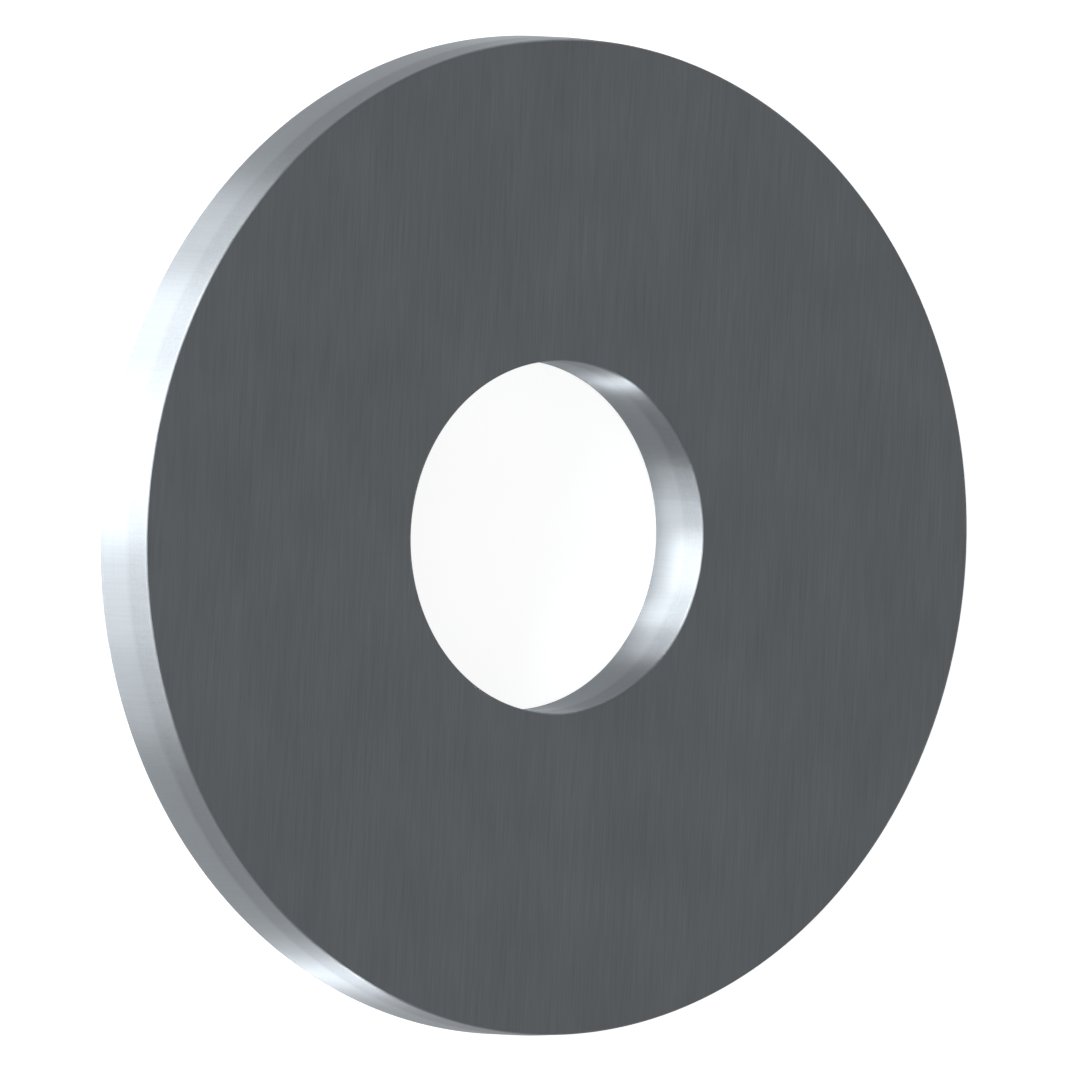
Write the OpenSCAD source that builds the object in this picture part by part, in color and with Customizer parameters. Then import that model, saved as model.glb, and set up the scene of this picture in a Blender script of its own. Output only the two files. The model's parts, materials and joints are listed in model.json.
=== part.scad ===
// Fender washer: a flat ring, three times as wide as its hole, blanked and pierced from steel strip.
// It lies on the face that went first into the die. Z = 0 is that face, and Z runs up the hole's axis.
// Both edges were sheared in one stroke, so from bottom to top each has a rolled corner, a straight
// burnished land, a fracture band that leans into the metal, and a corner where the burr was tumbled off.

/* [Ring] */
// Outer diameter, across the burnished land
outer_d = 24; // [16:0.5:40]
// Hole diameter, across the burnished land
hole_d = 8.4; // [4:0.1:12]
// Thickness of the strip
thickness = 2; // [1.6:0.1:3]

/* [Sheared edges] */
// Radius that the die rolls onto the corners of the lower face
roll_r = 0.15; // [0.05:0.01:0.25]
// Height of the burnished land above the rolled corner
land_h = 1.1; // [0.5:0.05:1.2]
// How far the fracture band would lean back at the upper face, which is the clearance of the die
die_clearance = 0.04; // [0:0.01:0.1]
// Radius left on the corners of the upper face when the burr is gone
break_r = 0.05; // [0.02:0.01:0.1]

/* [Hidden] */
steel_grey = "#565a5d";
outer_r = outer_d / 2;
hole_r = hole_d / 2;
land_top = roll_r + land_h;
lean_angle = atan(die_clearance / (thickness - land_top));
ring_steps = 180;
corner_steps = 48;

// Radius of an edge's fracture band at height z. The metal lies on the axis side of the outer edge
// (side = 1) and on the far side of the hole's edge (side = -1).
function fracture_r(land_r, side, z) = land_r - side * (z - land_top) * tan(lean_angle);

// Centre of the circle that rounds the lower corner, tangent to the lower face and the land
function roll_centre(land_r, side) = [land_r - side * roll_r, roll_r];

// Centre of the circle that rounds the upper corner, tangent to the upper face and the fracture band
function break_centre(land_r, side) =
    let (z = thickness - break_r)
    [fracture_r(land_r, side, z) - side * break_r / cos(lean_angle), z];

// The straight parts of one sheared edge, from the lower face to the upper one
function edge_line(land_r, side) = [
    [roll_centre(land_r, side)[0], 0],
    [land_r, roll_r],
    [land_r, land_top],
    break_centre(land_r, side) + break_r * [side * cos(lean_angle), sin(lean_angle)],
    [break_centre(land_r, side)[0], thickness],
];

function reversed(points) = [for (i = [len(points) - 1:-1:0]) points[i]];

module edge_corners(land_r, side) {
    translate(roll_centre(land_r, side)) circle(r = roll_r, $fn = corner_steps);
    translate(break_centre(land_r, side)) circle(r = break_r, $fn = corner_steps);
}

// Half of the ring cut through its axis, with radius along X and height along Y
module ring_section() {
    polygon(concat(edge_line(outer_r, 1), reversed(edge_line(hole_r, -1))));
    edge_corners(outer_r, 1);
    edge_corners(hole_r, -1);
}

module washer() {
    color(steel_grey) rotate_extrude($fn = ring_steps) ring_section();
}

washer();
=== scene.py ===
"""Fender washer: the steel ring with its rolled faces and sheared edges, on a pale studio floor."""
import json
import math
import bmesh
import bpy
from bpy.props import FloatProperty, FloatVectorProperty, IntProperty, PointerProperty
from mathutils import Matrix, Vector, noise


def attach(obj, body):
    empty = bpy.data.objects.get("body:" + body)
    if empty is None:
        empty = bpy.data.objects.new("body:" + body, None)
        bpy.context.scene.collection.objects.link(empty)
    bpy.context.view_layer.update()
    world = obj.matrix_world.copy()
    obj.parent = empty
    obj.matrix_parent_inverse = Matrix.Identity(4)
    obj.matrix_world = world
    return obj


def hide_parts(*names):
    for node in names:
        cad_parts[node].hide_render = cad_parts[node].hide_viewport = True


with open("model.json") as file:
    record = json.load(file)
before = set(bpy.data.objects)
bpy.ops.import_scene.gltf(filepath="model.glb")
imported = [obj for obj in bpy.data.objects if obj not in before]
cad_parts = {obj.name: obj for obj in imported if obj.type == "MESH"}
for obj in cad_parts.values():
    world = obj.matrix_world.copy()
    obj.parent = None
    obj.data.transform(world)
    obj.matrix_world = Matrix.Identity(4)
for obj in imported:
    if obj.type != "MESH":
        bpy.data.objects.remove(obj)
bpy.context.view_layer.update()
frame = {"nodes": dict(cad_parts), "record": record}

bl_info = {
    "name": "Fender Washer",
    "version": (1, 0, 0),
    "blender": (4, 5, 0),
    "location": "3D View > Sidebar > Washer",
    "description": "Builds a stamped fender washer and the studio that it is pictured in",
    "category": "Add Mesh",
}

MM = 0.001
NODE = "washer"


# Sizes that the frame holds, where points within a hair of the top lie on the upper face

CAD_POINTS = [(math.hypot(v.co.x, v.co.y), v.co.z) for v in frame["nodes"][NODE].data.vertices]
BOLT_HOLE = next(m for m in frame["record"]["mounts"] if m["name"] == "bolt_hole")
HAIR = 0.001 * MM

OUTER_RADIUS = max(r for r, z in CAD_POINTS)
THICKNESS = max(z for r, z in CAD_POINTS)
UPPER_EDGE_GAP = OUTER_RADIUS - max(r for r, z in CAD_POINTS if THICKNESS - z < HAIR)
HOLE_RADIUS = BOLT_HOLE["dims"]["r_mm"] * MM
LAND_HEIGHT = BOLT_HOLE["dims"]["length_mm"] * MM
ROLL_RADIUS = BOLT_HOLE["pos_m"][2] - LAND_HEIGHT / 2


# Properties

class WasherShape(bpy.types.PropertyGroup):
    """Sizes of the ring and of its sheared edges."""
    outer_radius: FloatProperty(
        name="Outer radius", description="Radius of the outer burnished land",
        default=OUTER_RADIUS, unit="LENGTH", subtype="DISTANCE")
    hole_radius: FloatProperty(
        name="Hole radius", description="Radius of the hole's burnished land",
        default=HOLE_RADIUS, unit="LENGTH", subtype="DISTANCE")
    thickness: FloatProperty(
        name="Thickness", description="Thickness of the strip",
        default=THICKNESS, unit="LENGTH", subtype="DISTANCE")
    roll_radius: FloatProperty(
        name="Roll radius", description="Radius of the lower face's rolled corners",
        default=ROLL_RADIUS, unit="LENGTH", subtype="DISTANCE")
    land_height: FloatProperty(
        name="Land height", description="Height of the straight burnished band",
        default=LAND_HEIGHT, unit="LENGTH", subtype="DISTANCE")
    land_waviness: FloatProperty(
        name="Land waviness", description="How far the land's upper end wanders up or down",
        default=0.07 * MM, unit="LENGTH", subtype="DISTANCE")
    fracture_relief: FloatProperty(
        name="Fracture relief", description="Depth of the torn band's hollows",
        default=0.006 * MM, unit="LENGTH", subtype="DISTANCE")
    edge_gap: FloatProperty(
        name="Upper edge gap", description="How far the upper flat ends inside the land",
        default=UPPER_EDGE_GAP, unit="LENGTH", subtype="DISTANCE")
    break_radius: FloatProperty(
        name="Break radius", description="Radius of the upper face's tumbled corners",
        default=0.05 * MM, unit="LENGTH", subtype="DISTANCE")
    sides: IntProperty(
        name="Sides", description="Steps around the ring",
        default=720, min=96, max=1440)


class SteelFinish(bpy.types.PropertyGroup):
    """Colours and roughness of the washer's two surfaces."""
    face_colour: FloatVectorProperty(
        name="Face colour", description="Steel of the rolled faces",
        default=(0.226, 0.2475, 0.2655), subtype="COLOR", min=0, max=1)
    face_roughness: FloatProperty(
        name="Face roughness", description="Satin of the rolled faces",
        default=0.36, min=0, max=1, subtype="FACTOR")
    edge_colour: FloatVectorProperty(
        name="Edge colour", description="Steel of the sheared edges",
        default=(0.293, 0.315, 0.336), subtype="COLOR", min=0, max=1)
    edge_roughness: FloatProperty(
        name="Edge roughness", description="Satin of the sheared edges",
        default=0.46, min=0, max=1, subtype="FACTOR")
    edge_anisotropy: FloatProperty(
        name="Edge anisotropy", description="How far the edge spreads light upwards, not around",
        default=1, min=0, max=1, subtype="FACTOR")


class StudioLook(bpy.types.PropertyGroup):
    """Floor, world and camera."""
    floor_colour: FloatVectorProperty(
        name="Floor colour", description="Matt paint of the floor",
        default=(0.4, 0.4, 0.4), subtype="COLOR", min=0, max=1)
    floor_glow: FloatProperty(
        name="Floor glow", description="White added to the floor for the eye and for metal",
        default=0.83, min=0, max=1, subtype="FACTOR")
    ceiling: FloatProperty(
        name="Ceiling", description="Brightness of the world overhead",
        default=0.37, min=0, max=1, subtype="FACTOR")
    camera_elevation: FloatProperty(
        name="Camera elevation", description="Camera's angle above the floor",
        default=math.radians(55.484), subtype="ANGLE", unit="ROTATION")
    camera_roll: FloatProperty(
        name="Camera roll", description="Turn of the camera about its line of sight",
        default=math.radians(92.704), subtype="ANGLE", unit="ROTATION")


# Outline of the ring's section, as (radius, height) points

ROLL_STEPS = 10
LAND_STEPS = 9
BAND_STEPS = 9
BREAK_STEPS = 6
FLAT_STEPS = 6
FLAT_MARGIN = 0.03 * MM


def arc(centre, radius, start, end, steps):
    """Points of an arc, from start to end degrees."""
    angles = [math.radians(start + (end - start) * i / steps) for i in range(steps + 1)]
    return [(centre[0] + radius * math.cos(a), centre[1] + radius * math.sin(a)) for a in angles]


def between(start, end, steps):
    """Points of a straight stretch, without its end."""
    (r, z), (end_r, end_z) = start, end
    shares = [i / steps for i in range(steps)]
    return [(r + (end_r - r) * share, z + (end_z - z) * share) for share in shares]


def flat_section(start, end, height):
    """A flat face between two radii, with rings near its ends that keep it flat up to the corners."""
    step = math.copysign(FLAT_MARGIN, end - start)
    last = (end - step, height)
    return between((start + step, height), last, FLAT_STEPS) + [last]


# Unevenness of the sheared edges, as the coarse and fine sizes of its noise

WAVE_SIZES = (1.6 * MM, 0.45 * MM)
WAVE_SEED = 3
HOLLOW_SIZES = (0.34 * MM, 0.13 * MM)
HOLLOW_SEED = 11
COARSE_SHARE = 0.7
FADE_STEPS = 2


def wander(place, sizes, seed):
    """Layered noise from -1 to 1 at a place."""
    coarse = noise.noise(place / sizes[0] + Vector((seed, 0, 0)))
    fine = noise.noise(place / sizes[1] + Vector((0, seed, 0)))
    return coarse * COARSE_SHARE + fine * (1 - COARSE_SHARE)


def torn_band(s, side, start, end, around):
    """The fracture band from the land to the upper corner, hollowed a little except at its ends."""
    points = []
    for i, (r, z) in enumerate(between(start, end, BAND_STEPS)):
        depth = (1 + wander(around + Vector((0, 0, z)), HOLLOW_SIZES, HOLLOW_SEED)) / 2
        fade = min(1, i / FADE_STEPS, (BAND_STEPS - i) / FADE_STEPS)
        points.append((r - side * s.fracture_relief * depth * fade, z))
    return points


def edge_section(s, land, side, angle):
    """One sheared edge at an angle, from the bottom up. The side is 1 for the rim, -1 for the hole."""
    lower = (land - side * s.roll_radius, s.roll_radius)
    upper = (land - side * s.edge_gap, s.thickness - s.break_radius)
    roll_from, roll_to, break_from = (-90, 0, 0) if side > 0 else (270, 180, 180)
    around = Vector((land * math.cos(angle), land * math.sin(angle), 0))
    rise = s.land_waviness * wander(around, WAVE_SIZES, WAVE_SEED)
    land_top = (land, s.roll_radius + s.land_height + rise)
    rolled = arc(lower, s.roll_radius, roll_from, roll_to, ROLL_STEPS)
    straight = between(rolled[-1], land_top, LAND_STEPS)
    rounded = arc(upper, s.break_radius, break_from, 90, BREAK_STEPS)
    torn = torn_band(s, side, land_top, rounded[0], around)
    return rolled[:-1] + straight + torn + rounded


def washer_section(s, angle):
    """The whole outline at an angle: lower face, rim, upper face, then the hole's edge downwards."""
    outer = edge_section(s, s.outer_radius, 1, angle)
    hole = edge_section(s, s.hole_radius, -1, angle)
    lower = flat_section(hole[0][0], outer[0][0], 0)
    upper = flat_section(outer[-1][0], hole[-1][0], s.thickness)
    return lower + outer + upper + hole[::-1]


# Mesh of the washer

FACE, EDGE = 0, 1
TEAR_STARTS = 0.5


def section_zones():
    """For each point of the outline, the finish of the stretch after it and how torn the point is."""
    torn = [0] * (ROLL_STEPS + LAND_STEPS) + [TEAR_STARTS] + [1] * BAND_STEPS + [0] * BREAK_STEPS
    rolled = [FACE] * (ROLL_STEPS // 2)
    sheared = [EDGE] * (len(torn) - 1 - len(rolled))
    flat = [FACE] * (FLAT_STEPS + 1)
    finishes = flat + rolled + sheared + [FACE] + flat + sheared + rolled + [FACE]
    whole = [0] * len(flat)
    return finishes, whole + torn + whole + torn[::-1]


def washer_mesh(s):
    """The closed ring, with the rolled and the sheared surfaces as two materials."""
    finishes, torn = section_zones()
    bm = bmesh.new()
    fracture = bm.verts.layers.float.new("fracture")
    rings = []
    for i in range(s.sides):
        angle = 2 * math.pi * i / s.sides
        across, along = math.cos(angle), math.sin(angle)
        ring = [bm.verts.new((r * across, r * along, z)) for r, z in washer_section(s, angle)]
        for vert, amount in zip(ring, torn, strict=True):
            vert[fracture] = amount
        rings.append(ring)
    for ring, following in zip(rings, rings[1:] + rings[:1]):
        for j, finish in enumerate(finishes):
            k = (j + 1) % len(finishes)
            face = bm.faces.new((ring[j], following[j], following[k], ring[k]))
            face.material_index = finish
            face.smooth = True
    bm.normal_update()
    mesh = bpy.data.meshes.new("washer_ring")
    bm.to_mesh(mesh)
    bm.free()
    return mesh


# Nodes of the materials

WHITE = (1, 1, 1, 1)
NOISE_LOW, NOISE_HIGH = 0.3, 0.7


def new_material(name):
    """A material with a Principled shader and nothing else."""
    material = bpy.data.materials.new(name)
    material.use_nodes = True
    tree = material.node_tree
    return material, tree, tree.nodes["Principled BSDF"]


def add_node(tree, kind, inputs=None, **settings):
    """A node with its settings, and with its inputs set to a value or linked from a socket."""
    node = tree.nodes.new(kind)
    for name, value in settings.items():
        setattr(node, name, value)
    for name, value in (inputs or {}).items():
        if isinstance(value, bpy.types.NodeSocket):
            tree.links.new(value, node.inputs[name])
        else:
            node.inputs[name].default_value = value
    return node


def grain(tree, size, detail=2):
    """Noise whose grains have a length along X, Y and Z. Nearly all of it lies in the noise range."""
    place = add_node(tree, "ShaderNodeTexCoord").outputs["Object"]
    scale = [1 / length for length in size]
    scaled = add_node(tree, "ShaderNodeMapping", {"Vector": place, "Scale": scale})
    inputs = {"Vector": scaled.outputs["Vector"], "Scale": 1, "Detail": detail}
    return add_node(tree, "ShaderNodeTexNoise", inputs).outputs["Fac"]


def spread(tree, value, low, high):
    """A grain's noise range, spread over low to high."""
    noise_range = {"From Min": NOISE_LOW, "From Max": NOISE_HIGH}
    inputs = {"Value": value, **noise_range, "To Min": low, "To Max": high}
    return add_node(tree, "ShaderNodeMapRange", inputs).outputs["Result"]


def vary(tree, value, middle, swing):
    """A grain's noise range, spread evenly about a middle value."""
    return spread(tree, value, middle - swing, middle + swing)


def combine(tree, operation, first, second):
    """Two values put together by a Math operation."""
    node = add_node(tree, "ShaderNodeMath", {0: first, 1: second}, operation=operation)
    return node.outputs["Value"]


def tint(tree, colour, value):
    """A colour made lighter or darker by a value."""
    inputs = {0: colour, "Scale": value}
    return add_node(tree, "ShaderNodeVectorMath", inputs, operation="SCALE").outputs["Vector"]


def bump(tree, height, distance, before=None):
    """A surface raised by a height times a distance in metres, on top of another bump."""
    inputs = {"Height": height, "Distance": distance, "Strength": 1}
    if before:
        inputs["Normal"] = before
    return add_node(tree, "ShaderNodeBump", inputs).outputs["Normal"]


# Steel of the rolled faces, with the length of each grain along X, Y and Z

LINE_GRAIN = (1.6 * MM, 0.026 * MM, 1.6 * MM)
LINE_SHADE = 0.06
CLOUD_GRAIN = (2.6 * MM, 1.7 * MM, 2.6 * MM)
CLOUD_SHADE = 0.025
SPECKLE_GRAIN = (0.09 * MM, 0.09 * MM, 0.09 * MM)
SATIN_SWING = 0.02
SKIN_DEPTH = 0.0012 * MM


def rolled_steel(f):
    """Dark satin skin of cold-rolled strip: long fine rolling lines, cloudy patches and a speckle."""
    material, tree, shader = new_material("rolled_steel")
    lines = grain(tree, LINE_GRAIN, detail=1)
    clouds = grain(tree, CLOUD_GRAIN, detail=4)
    speckle = grain(tree, SPECKLE_GRAIN, detail=3)
    line_shade = vary(tree, lines, 1, LINE_SHADE)
    shade = combine(tree, "MULTIPLY", line_shade, vary(tree, clouds, 1, CLOUD_SHADE))
    tree.links.new(tint(tree, f.face_colour, shade), shader.inputs["Base Color"])
    line_satin = vary(tree, lines, 0, SATIN_SWING)
    satin = combine(tree, "ADD", line_satin, vary(tree, speckle, 0, SATIN_SWING))
    satin = combine(tree, "ADD", satin, vary(tree, clouds, f.face_roughness, SATIN_SWING))
    tree.links.new(satin, shader.inputs["Roughness"])
    raised = bump(tree, lines, SKIN_DEPTH)
    raised = bump(tree, speckle, SKIN_DEPTH, raised)
    tree.links.new(raised, shader.inputs["Normal"])
    shader.inputs["Metallic"].default_value = 1
    return material


# Steel of the sheared edges, where the torn band's two pairs go with its hollows and its crests

STREAK_GRAIN = (0.06 * MM, 0.06 * MM, 2.4 * MM)
STREAK_SHADE = 0.04
STREAK_DEPTH = 0.0006 * MM
RING_GRAIN = (2.5 * MM, 2.5 * MM, 0.035 * MM)
RING_SHADE = 0.02
RING_DEPTH = 0.0004 * MM
CRYSTAL_GRAIN = (0.07 * MM, 0.07 * MM, 0.07 * MM)
CRYSTAL_DEPTH = 0.003 * MM
TORN_DARKENING = (0.14, 0.02)
TORN_ROUGHENING = (0, 0.06)
QUARTER_TURN = 0.25


def sheared_steel(f):
    """Brighter steel of the sheared edges: a streaked land, and above it a duller, grainy torn band."""
    material, tree, shader = new_material("sheared_steel")
    torn = add_node(tree, "ShaderNodeAttribute", attribute_name="fracture").outputs["Fac"]
    streaks = grain(tree, STREAK_GRAIN)
    rings = grain(tree, RING_GRAIN)
    crystals = grain(tree, CRYSTAL_GRAIN, detail=4)
    streak_shade = vary(tree, streaks, 1, STREAK_SHADE)
    shade = combine(tree, "MULTIPLY", streak_shade, vary(tree, rings, 1, RING_SHADE))
    dulled = combine(tree, "MULTIPLY", torn, spread(tree, crystals, *TORN_DARKENING))
    shade = combine(tree, "MULTIPLY", shade, combine(tree, "SUBTRACT", 1, dulled))
    tree.links.new(tint(tree, f.edge_colour, shade), shader.inputs["Base Color"])
    roughened = combine(tree, "MULTIPLY", torn, spread(tree, crystals, *TORN_ROUGHENING))
    satin = combine(tree, "ADD", vary(tree, streaks, f.edge_roughness, SATIN_SWING), roughened)
    tree.links.new(satin, shader.inputs["Roughness"])
    raised = bump(tree, streaks, STREAK_DEPTH)
    raised = bump(tree, rings, RING_DEPTH, raised)
    raised = bump(tree, combine(tree, "MULTIPLY", crystals, torn), CRYSTAL_DEPTH, raised)
    tree.links.new(raised, shader.inputs["Normal"])
    around = add_node(tree, "ShaderNodeTangent", direction_type="RADIAL", axis="Z")
    tree.links.new(around.outputs["Tangent"], shader.inputs["Tangent"])
    shader.inputs["Metallic"].default_value = 1
    shader.inputs["Anisotropic"].default_value = f.edge_anisotropy
    shader.inputs["Anisotropic Rotation"].default_value = QUARTER_TURN
    return material


# Studio: the world, the floor, the lamps and the camera

HORIZON_TOP = 0.03
CEILING_FROM = 0.38
FLOOR_RADIUS = 3
FLOOR_SIDES = 96
LAMP_DISTANCE = 0.6
CAMERA_DISTANCE = 0.5


def add_object(name, data):
    """An object of that name in the scene."""
    thing = bpy.data.objects.new(name, data)
    bpy.context.scene.collection.objects.link(thing)
    return thing


def studio_world(look):
    """White at and below the horizon, grey overhead, by the height on a sphere of radius 1."""
    world = bpy.data.worlds.new("studio")
    bpy.context.scene.world = world
    world.use_nodes = True
    tree = world.node_tree
    place = add_node(tree, "ShaderNodeTexCoord").outputs["Generated"]
    height = add_node(tree, "ShaderNodeSeparateXYZ", {"Vector": place}).outputs["Z"]
    fade = add_node(tree, "ShaderNodeValToRGB", {"Fac": height})
    fade.color_ramp.interpolation = "EASE"
    horizon, overhead = fade.color_ramp.elements
    horizon.position = HORIZON_TOP
    horizon.color = WHITE
    overhead.position = CEILING_FROM
    overhead.color = (look.ceiling, look.ceiling, look.ceiling, 1)
    tree.links.new(fade.outputs["Color"], tree.nodes["Background"].inputs["Color"])


def floor_paint(look):
    """Matt grey paint that glows for the eye and for metal, so that it shows as white."""
    material, tree, shader = new_material("floor_paint")
    shader.inputs["Base Color"].default_value = (*look.floor_colour, 1)
    shader.inputs["Roughness"].default_value = 1
    shader.inputs["Specular IOR Level"].default_value = 0
    shader.inputs["Emission Color"].default_value = WHITE
    path = add_node(tree, "ShaderNodeLightPath").outputs
    seen = combine(tree, "MAXIMUM", path["Is Camera Ray"], path["Is Glossy Ray"])
    seen = combine(tree, "MAXIMUM", seen, path["Is Transmission Ray"])
    glow = combine(tree, "MULTIPLY", seen, look.floor_glow)
    tree.links.new(glow, shader.inputs["Emission Strength"])
    return material


def studio_floor(look):
    """A wide disc under the washer."""
    bm = bmesh.new()
    bmesh.ops.create_circle(bm, cap_ends=True, radius=FLOOR_RADIUS, segments=FLOOR_SIDES)
    mesh = bpy.data.meshes.new("floor")
    bm.to_mesh(mesh)
    bm.free()
    mesh.materials.append(floor_paint(look))
    add_object("floor", mesh)


def direction(azimuth, elevation):
    """Unit vector towards an azimuth and elevation in degrees. Azimuth 0 is the near side, -Y."""
    a, e = math.radians(azimuth), math.radians(elevation)
    return Vector((math.sin(a) * math.cos(e), -math.cos(a) * math.cos(e), math.sin(e)))


def softbox(name, azimuth, elevation, width, height, watts):
    """A rectangular lamp that faces the washer."""
    lamp = bpy.data.lights.new(name, "AREA")
    lamp.shape = "RECTANGLE"
    lamp.size = width
    lamp.size_y = height
    lamp.energy = watts
    towards = direction(azimuth, elevation)
    thing = add_object(name, lamp)
    thing.location = towards * LAMP_DISTANCE
    thing.rotation_euler = towards.to_track_quat("Z", "Y").to_euler()


def studio_lamps():
    """Low softboxes in front that fade to both sides along the rim, and a thin strip at the right."""
    softbox("front_strip", azimuth=-11, elevation=11, width=0.36, height=0.12, watts=6.5)
    softbox("front_fade", azimuth=16, elevation=14, width=0.16, height=0.1, watts=1.45)
    softbox("front_fade_far", azimuth=32, elevation=12, width=0.16, height=0.1, watts=0.75)
    softbox("shoulder_strip", azimuth=-38, elevation=14, width=0.16, height=0.1, watts=2.45)
    softbox("shoulder_far", azimuth=-56, elevation=12, width=0.16, height=0.12, watts=1.05)
    softbox("side_strip", azimuth=94.5, elevation=12, width=0.02, height=0.16, watts=1.45)
    softbox("back_left", azimuth=-120, elevation=14, width=0.12, height=0.1, watts=0.22)


# Place of the ring in the picture that the camera matches, in its pixels

PICTURE_SIDE_PX = 1066
RING_RADIUS_PX = 499.6
CENTRE_RIGHT_PX = 23.70
CENTRE_DOWN_PX = 4.03


def studio_camera(look, shape):
    """An orthographic camera above the near side, turned as the picture shows the ring."""
    pixel = shape.outer_radius / RING_RADIUS_PX
    camera = bpy.data.cameras.new("camera")
    camera.type = "ORTHO"
    camera.ortho_scale = PICTURE_SIDE_PX * pixel
    towards = direction(0, math.degrees(look.camera_elevation))
    upright = towards.to_track_quat("Z", "Y").to_matrix()
    turned = upright @ Matrix.Rotation(look.camera_roll, 3, "Z")
    right, up, back = turned.col
    upper_centre = Vector((0, 0, shape.thickness))
    aim = upper_centre + pixel * (CENTRE_DOWN_PX * up - CENTRE_RIGHT_PX * right)
    thing = add_object("camera", camera)
    thing.matrix_world = Matrix.Translation(aim + CAMERA_DISTANCE * back) @ turned.to_4x4()
    bpy.context.scene.camera = thing


# Operators and panel

class WASHER_OT_ring(bpy.types.Operator):
    """Build the washer around its place in the frame"""
    bl_idname = "washer.ring"
    bl_label = "Build washer"

    def execute(self, context):
        scene = context.scene
        mesh = washer_mesh(scene.washer_shape)
        mesh.materials.append(rolled_steel(scene.washer_finish))
        mesh.materials.append(sheared_steel(scene.washer_finish))
        ring = add_object("steel_washer", mesh)
        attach(ring, "root")
        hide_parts(NODE)
        return {"FINISHED"}


class WASHER_OT_studio(bpy.types.Operator):
    """Set up the floor, the world, the lamps and the camera"""
    bl_idname = "washer.studio"
    bl_label = "Set up studio"

    def execute(self, context):
        scene = context.scene
        studio_world(scene.washer_studio)
        studio_floor(scene.washer_studio)
        studio_lamps()
        studio_camera(scene.washer_studio, scene.washer_shape)
        scene.view_settings.view_transform = "Standard"
        return {"FINISHED"}


class WASHER_PT_panel(bpy.types.Panel):
    """Sizes, finishes and studio of the washer"""
    bl_idname = "WASHER_PT_panel"
    bl_label = "Fender Washer"
    bl_space_type = "VIEW_3D"
    bl_region_type = "UI"
    bl_category = "Washer"

    def draw(self, context):
        scene = context.scene
        self.draw_step(WASHER_OT_ring, scene.washer_shape, scene.washer_finish)
        self.draw_step(WASHER_OT_studio, scene.washer_studio)

    def draw_step(self, operator, *groups):
        """One operator's settings, with its button under them."""
        box = self.layout.box()
        for group in groups:
            for name in type(group).__annotations__:
                box.prop(group, name)
        box.operator(operator.bl_idname)


CLASSES = (WasherShape, SteelFinish, StudioLook, WASHER_OT_ring, WASHER_OT_studio, WASHER_PT_panel)


def register():
    for cls in CLASSES:
        bpy.utils.register_class(cls)
    bpy.types.Scene.washer_shape = PointerProperty(type=WasherShape)
    bpy.types.Scene.washer_finish = PointerProperty(type=SteelFinish)
    bpy.types.Scene.washer_studio = PointerProperty(type=StudioLook)


def unregister():
    del bpy.types.Scene.washer_studio
    del bpy.types.Scene.washer_finish
    del bpy.types.Scene.washer_shape
    for cls in reversed(CLASSES):
        bpy.utils.unregister_class(cls)


def main():
    register()
    bpy.ops.washer.ring()
    bpy.ops.washer.studio()


if __name__ == "__main__":
    main()
